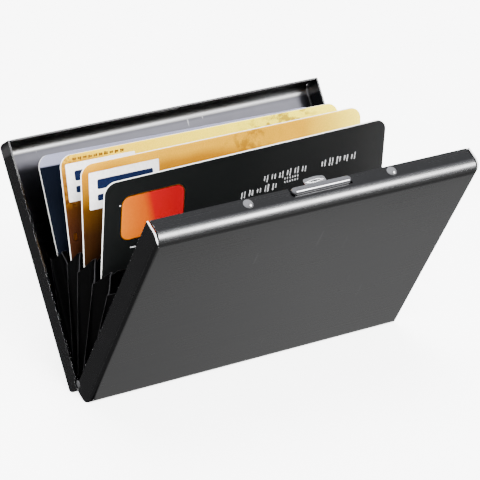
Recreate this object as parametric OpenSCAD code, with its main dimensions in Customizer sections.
// Hinged card case with a six-pocket film accordion.
// Two folded-sheet shells turn on a pin at the bottom, and a sprung bar latches their top rims.
// X runs along the hinge, +Z is up between the shells, and the front shell leans towards -Y.
// Every shell and leaf is drawn upright on the hinge axis, then turned to its own angle.
// Lengths are in millimetres and angles in degrees.

/* [Case] */
// Length of the case along the hinge
case_l = 97; // [95:0.5:104]
// Height of a shell above the hinge axis
case_h = 65; // [64:0.5:70]
// Depth of one shell
shell_d = 6.45; // [6.4:0.05:7.5]
// Thickness of the shells' sheet metal
sheet_t = 0.45; // [0.4:0.05:0.5]
// Outer radius of the rolled top and bottom rims
rim_r = 3; // [2.8:0.1:3.2]
// Outer radius of the fold between the plate and a side flange
flange_r = 1.35; // [1.2:0.05:1.5]
// Angle between the two shells
open_angle = 62.4; // [50:0.2:66]

/* [Accordion] */
// Share of the opening that each pocket takes, from the back pocket to the front one
pocket_shares = [13, 12, 8, 10, 10, 10];
// Height of the dividers above the hinge axis
divider_h = 33.5; // [28:0.5:40]
// Thickness of the divider film
film_t = 0.25; // [0.15:0.05:0.3]
// Width of each half of a folded gusset
gusset_w = 4.3; // [4:0.1:4.4]
// Height of a gusset's outer fold, a little lower than the dividers
gusset_h = 30; // [26:0.5:32]

/* [Cards] */
// Length of a card
card_l = 85.6; // [85.4:0.1:85.8]
// Height of a card
card_h = 53.98; // [53.9:0.01:54.1]
// Thickness of a card
card_t = 0.76; // [0.7:0.02:0.84]
// Height of each card's lower edge above the hinge axis, from the back card to the front one
card_lift = [4, 3.4, 3.4, 2.8];
// How far each card has slid along its pocket
card_shift = [-0.5, -1.5, -1.9, -0.9];
// How far each card leans in its pocket, in degrees, with the +X end up
card_lean = [-1.1, -0.6, 0, 1];

/* [Latch] */
// Length of the press bar
bar_l = 17.8; // [16:0.2:20]
// Distance of each rivet from the middle
rivet_x = 21.6; // [20:0.2:26]
// How far the latch sits from the middle of the rim, towards +X
latch_x = 1.2; // [-2:0.1:2]

/* [Hidden] */
$fn = 64;
pocket_count = 6;
card_count = 4;

// Shells
shell_drop = 1.6;       // shell below the hinge axis
parting_gap = 0.1;      // each rim stops this far from the parting plane
end_gap = 0.5;          // slit between a rim's end and the flange
bottom_rim_w = 1.5;     // the bottom rim stops this far from the parting plane
notch_r = 1.35;         // flange cut-out round the hinge pin
stop_angle = 38.5;      // slope of the flange's lower corner, where fully open shells nearly meet
half_open = open_angle / 2;
rim_l = case_l - 2 * (sheet_t + end_gap);
plate_l = case_l - 2 * flange_r;
bend_z = case_h - rim_r;
low_bend_z = rim_r - shell_drop;
rim_face_z = case_h - sheet_t;
hinge_z = rim_r + (shell_d - rim_r) * sin(half_open) - low_bend_z * cos(half_open);

// Hinge
pin_r = 0.7;
pin_clearance = 0.05;
knuckle_r = 1.15;
knuckle_count = 5;
knuckle_gap = 0.2;
barrel_l = case_l - 2;
leaf_t = 0.4;
leaf_low_z = sheet_t - shell_drop;
head_r = 0.95;
head_t = 0.7;

// Accordion: the six pockets share the depth between the liners
tape_t = 0.12;
film_half_l = 43.3;
film_low_z = 1.35;
half_stack = shell_d - sheet_t - tape_t - film_t;
pitch = (2 * half_stack + film_t) / pocket_count;
floor_w = 1.2;
gusset_t = 0.3;
gusset_gap = 0.1;       // welds are drawn open by this much, since the two sides turn apart
gusset_low_z = 1.8;

// Latch
notch_w = 2.75;         // depth of the latch notch in the front rim
notch_side = 0.2;
bar_w = 2.1;
bar_y = 1.55;
bar_proud = 1.2;
bar_bevel = 0.45;
spring_t = 0.3;
rivet_y = 1.8;
rivet_hole_r = 0.8;
rivet_head_r = 1.45;
rivet_head_h = 0.8;
hook_t = 0.45;
hook_reach = 2.2;
tongue_w = 6.4;
tongue_r = 0.8;
loop_w = 6;
loop_wall = 0.35;
loop_h = 0.7;
loop_r = (pow(loop_w / 2, 2) + pow(loop_h, 2)) / (2 * loop_h);
window_l = 6.8;
eps = 0.01;

function add_up(list, count) = count == 0 ? 0 : list[count - 1] + add_up(list, count - 1);

// Angle of the boundary in front of pocket k; boundary 0 is the back shell
function boundary_angle(k) =
    half_open - open_angle * add_up(pocket_shares, k) / add_up(pocket_shares, pocket_count);

// A pocket's middle is halfway between its boundaries
function pocket_angle(k) = (boundary_angle(k - 1) + boundary_angle(k)) / 2;

// Place of a boundary or a pocket in the closed stack, from the parting plane towards the back
function boundary_y(k) = (pocket_count / 2 - k) * pitch;
function pocket_y(k) = boundary_y(k - 0.5);

// A point on a leaf: x along the hinge, y across the closed stack, z up the leaf
function on_leaf(angle, p) = [
    p[0],
    p[1] * cos(angle) + p[2] * sin(angle),
    hinge_z - p[1] * sin(angle) + p[2] * cos(angle)
];

module at_angle(angle) translate([0, 0, hinge_z]) rotate([-angle, 0, 0]) children();
module back_side() at_angle(half_open) children();
module front_side() mirror([0, 1, 0]) back_side() children();
module both_ends() { children(); mirror([1, 0, 0]) children(); }

// Extrudes a (y, z) outline along the hinge, centred on the middle of the case
module along(length) rotate([90, 0, 90]) linear_extrude(height = length, center = true) children();

// ---- Shells ----

// The tray's (y, z) outline, with its two outer corners rounded
module tray_outline(inset) {
    r = rim_r - inset;
    low = inset - shell_drop;
    translate([-2, low]) square([shell_d - rim_r + 2, case_h - inset - low]);
    translate([-2, low_bend_z]) square([shell_d - inset + 2, bend_z - low_bend_z]);
    translate([shell_d - rim_r, bend_z]) circle(r);
    translate([shell_d - rim_r, low_bend_z]) circle(r);
}

// Top and bottom rims with their rolled bends
module rims() {
    along(rim_l) difference() {
        tray_outline(0);
        tray_outline(sheet_t);
        translate([-3, low_bend_z]) square([shell_d + 4, bend_z - low_bend_z]);
        translate([-3, -shell_drop - 1]) square([3 + bottom_rim_w, rim_r]);
        translate([-3, bend_z]) square([3 + parting_gap, rim_r + 1]);
    }
}

module plate() {
    translate([-plate_l / 2, shell_d - sheet_t, low_bend_z])
        cube([plate_l, sheet_t, bend_z - low_bend_z]);
}

// Flange and its fold at the +X end, trimmed to the rims' profile
module side_flange() {
    wall_h = case_h + shell_drop;
    intersection() {
        along(case_l) tray_outline(0);
        union() {
            translate([case_l / 2 - sheet_t, parting_gap, -shell_drop])
                cube([sheet_t, shell_d - flange_r - parting_gap, wall_h]);
            translate([case_l / 2 - flange_r, shell_d - flange_r, -shell_drop])
                intersection() {
                    difference() {
                        cylinder(r = flange_r, h = wall_h);
                        translate([0, 0, -1]) cylinder(r = flange_r - sheet_t, h = wall_h + 2);
                    }
                    cube([flange_r, flange_r, wall_h]);
                }
        }
    }
}

// Room for the pin's head, and the lower corner cut back so that the shells can open
module hinge_relief() {
    rotate([0, 90, 0]) cylinder(r = notch_r, h = case_l + 2, center = true);
    along(case_l + 2) polygon([[-1, 0], [0, 0], [3 * tan(stop_angle), -3], [-1, -3]]);
}

module tray() {
    difference() {
        union() {
            rims();
            plate();
            both_ends() side_flange();
        }
        hinge_relief();
    }
}

module at_latch() translate([latch_x, 0, 0]) children();

module rivet_holes() both_ends()
    translate([rivet_x, rivet_y, rim_face_z - 1]) cylinder(r = rivet_hole_r, h = 2);

module back_shell() color("#3a3a3c") back_side() difference() {
    tray();
    // Window that takes the hook's loop
    translate([latch_x - window_l / 2, 0.85, rim_face_z - 1]) cube([window_l, 1.3, 2]);
}

module front_shell() color("#4a4a4c") front_side() difference() {
    tray();
    // Latch notch, open to the rim's edge
    at_latch() translate([-bar_l / 2 - notch_side, -1, rim_face_z - 1])
        cube([bar_l + 2 * notch_side, notch_w + 1, 2]);
    at_latch() rivet_holes();
}

// ---- Hinge ----

// Every second knuckle from the given one, with the web that joins each to the strip
module knuckles(first) {
    step = barrel_l / knuckle_count;
    length = step - knuckle_gap;
    difference() {
        for (i = [first:2:knuckle_count - 1]) {
            translate([(i + 0.5) * step - barrel_l / 2, 0, 0]) {
                rotate([0, 90, 0]) cylinder(r = knuckle_r, h = length, center = true);
                translate([-length / 2, 0, leaf_low_z]) cube([length, 1.8, leaf_t]);
            }
        }
        rotate([0, 90, 0]) cylinder(r = pin_r + pin_clearance, h = case_l, center = true);
    }
}

module hinge_strip() {
    translate([-barrel_l / 2 + 1, 1.7, leaf_low_z])
        cube([barrel_l - 2, shell_d - rim_r - 1.75, leaf_t]);
}

module back_hinge_leaf() color("#6c6c70") back_side() {
    knuckles(0);
    hinge_strip();
}

module front_hinge_leaf() color("#77777b") front_side() {
    knuckles(1);
    hinge_strip();
}

module hinge_pin() color("#e8e8ea") back_side() rotate([0, 90, 0]) {
    cylinder(r = pin_r, h = barrel_l + 2 * head_t, center = true);
    for (side = [-1, 1])
        translate([0, 0, side * (barrel_l + head_t + 0.2) / 2])
            cylinder(r = head_r, h = head_t, center = true);
}

// ---- Latch, on the front shell's top rim ----

module latch_spring() color("#a9a9ad") front_side() at_latch() difference() {
    translate([-rivet_x - 2.4, 0.75, rim_face_z - spring_t])
        cube([2 * rivet_x + 4.8, 2.6, spring_t]);
    rivet_holes();
}

module latch_rivets() color("#e6e6e8")
    front_side() at_latch() both_ends() translate([rivet_x, rivet_y, 0]) rivet();

module rivet() {
    dome_r = (pow(rivet_head_r, 2) + pow(rivet_head_h, 2)) / (2 * rivet_head_h);
    tail_z = rim_face_z - spring_t;
    intersection() {
        translate([0, 0, case_h + rivet_head_h - dome_r]) sphere(dome_r);
        translate([0, 0, case_h]) cylinder(r = 3, h = 3);
    }
    translate([0, 0, tail_z - eps]) cylinder(r = rivet_hole_r - 0.02, h = case_h - tail_z + 2 * eps);
    translate([0, 0, tail_z - 0.35]) cylinder(r = 1.2, h = 0.35);
}

module press_bar() color("#e2e2e5") front_side() at_latch() intersection() {
    low = rim_face_z;
    high = case_h + bar_proud;
    along(bar_l) polygon([
        [bar_y - bar_w / 2, low],
        [bar_y + bar_w / 2, low],
        [bar_y + bar_w / 2, high - bar_bevel],
        [bar_y + bar_w / 2 - bar_bevel, high],
        [bar_y - bar_w / 2 + bar_bevel, high],
        [bar_y - bar_w / 2, high - bar_bevel]
    ]);
    translate([0, bar_y, low - 1]) linear_extrude(height = 4) {
        square([bar_l - bar_w, bar_w + 1], center = true);
        for (side = [-1, 1]) translate([side * (bar_l - bar_w) / 2, 0]) circle(bar_w / 2);
    }
}

// Flat tongue under the spring, with a raised loop that enters the back rim's window
module catch_hook() color("#dcdce0") front_side() at_latch() {
    top = rim_face_z - spring_t;
    translate([0, 0, top - hook_t]) linear_extrude(height = hook_t) {
        translate([-tongue_w / 2, tongue_r - hook_reach]) square([tongue_w, 2.5 + hook_reach - tongue_r]);
        translate([tongue_r - tongue_w / 2, -hook_reach]) square([tongue_w - 2 * tongue_r, 1]);
        both_ends() translate([tongue_w / 2 - tongue_r, tongue_r - hook_reach]) circle(tongue_r);
    }
    intersection() {
        translate([0, -1.5, top + loop_h - loop_r]) rotate([90, 0, 0]) difference() {
            cylinder(r = loop_r, h = 0.8, center = true);
            cylinder(r = loop_r - loop_wall, h = 2, center = true);
        }
        translate([-4, -4, top - eps]) cube([8, 4, 2]);
    }
}

// ---- Accordion ----

module tape() {
    translate([-film_half_l + 1, shell_d - sheet_t - tape_t, 3])
        cube([2 * film_half_l - 2, tape_t, divider_h - 4]);
}

module liner() {
    translate([-film_half_l, half_stack, 1.7]) cube([2 * film_half_l, film_t, divider_h - 1.7]);
}

module back_tape() color("#6a6a60") back_side() tape();
module front_tape() color("#6a6a60") front_side() tape();
module back_liner() color("#1c1c1e") back_side() liner();
module front_liner() color("#1c1c1e") front_side() liner();

module divider(k) {
    corner = 2;
    color("#202022") at_angle(boundary_angle(k)) translate([0, boundary_y(k) + film_t / 2, 0])
        rotate([90, 0, 0]) linear_extrude(height = film_t) {
            translate([-film_half_l, film_low_z])
                square([2 * film_half_l, divider_h - corner - film_low_z]);
            translate([-film_half_l + corner, film_low_z])
                square([2 * (film_half_l - corner), divider_h - film_low_z]);
            for (side = [-1, 1])
                translate([side * (film_half_l - corner), divider_h - corner]) circle(corner);
        }
}

module pocket_floor(k) {
    color("#26262a") at_angle(pocket_angle(k))
        translate([-film_half_l, pocket_y(k) - floor_w / 2, film_low_z])
            cube([2 * film_half_l, floor_w, film_t]);
}

// Six corners of a gusset's section at one height: outer skin from back to front, then inner skin.
// The fold stands out as far as the film's width allows for the gap that it spans.
function gusset_ring(k, edge_z, fold_z) =
    let (
        edge_x = film_half_l + gusset_gap,
        back_y = k == 1 ? half_stack - gusset_gap : boundary_y(k - 1) - gusset_gap,
        front_y = k == pocket_count ? gusset_gap - half_stack : boundary_y(k) + gusset_gap,
        half_gap = edge_z * sin((boundary_angle(k - 1) - boundary_angle(k)) / 2) + pitch / 2,
        fold_x = edge_x + sqrt(max(pow(gusset_w, 2) - pow(half_gap - pitch / 4, 2), 0.5)),
        skin = [gusset_t, 0, 0],
        back = on_leaf(boundary_angle(k - 1), [edge_x, back_y, edge_z]),
        fold = on_leaf(pocket_angle(k), [fold_x, pocket_y(k), fold_z]),
        front = on_leaf(boundary_angle(k), [edge_x, front_y, edge_z])
    )
    [back + skin, fold + skin, front + skin, front, fold, back];

// Folded film at the +X end of a pocket, in two flat halves
module gusset(k) {
    low = gusset_ring(k, gusset_low_z, gusset_low_z);
    high = gusset_ring(k, divider_h, gusset_h);
    // Both skins of a half are split along the same diagonal, because the halves are twisted
    outer_skin = [[0, 1, 7, 6], [1, 2, 8, 7]];
    inner_skin = [[4, 10, 9, 3], [5, 11, 10, 4]];
    edges = [[2, 3, 9, 8], [5, 0, 6, 11]];
    caps = [[6, 7, 10, 11], [7, 8, 9, 10], [5, 4, 1, 0], [4, 3, 2, 1]];
    triangles = [for (quad = concat(outer_skin, inner_skin, edges, caps), t = [[0, 1, 2], [0, 2, 3]])
        [quad[t[0]], quad[t[1]], quad[t[2]]]];
    color("#2a2a2e") polyhedron(points = concat(low, high), faces = triangles);
}

module gusset_right(k) gusset(k);
module gusset_left(k) mirror([1, 0, 0]) gusset(k);

// ---- Cards ----

// A standard card in pocket k
module card(k) {
    corner = 3.18;
    at_angle(pocket_angle(k))
        translate([card_shift[k - 1], pocket_y(k) + card_t / 2, card_lift[k - 1] + card_h / 2])
            rotate([90, -card_lean[k - 1], 0]) linear_extrude(height = card_t) {
                square([card_l, card_h - 2 * corner], center = true);
                square([card_l - 2 * corner, card_h], center = true);
                for (x = [-1, 1], z = [-1, 1])
                    translate([x * (card_l / 2 - corner), z * (card_h / 2 - corner)]) circle(corner);
            }
}

module card_silver() color("#b9bcc4") card(1);
module card_gold_rear() color("#d9a648") card(2);
module card_gold_front() color("#c98f35") card(3);
module card_black() color("#17171a") card(card_count);

// ---- Assembly ----

back_shell();
front_shell();
back_hinge_leaf();
front_hinge_leaf();
hinge_pin();
latch_spring();
latch_rivets();
press_bar();
catch_hook();
back_tape();
front_tape();
back_liner();
front_liner();
for (k = [1:pocket_count - 1])
    divider(k);
for (k = [1:pocket_count])
    pocket_floor(k);
for (k = [1:pocket_count])
    gusset_left(k);
for (k = [1:pocket_count])
    gusset_right(k);
card_silver();
card_gold_rear();
card_gold_front();
card_black();
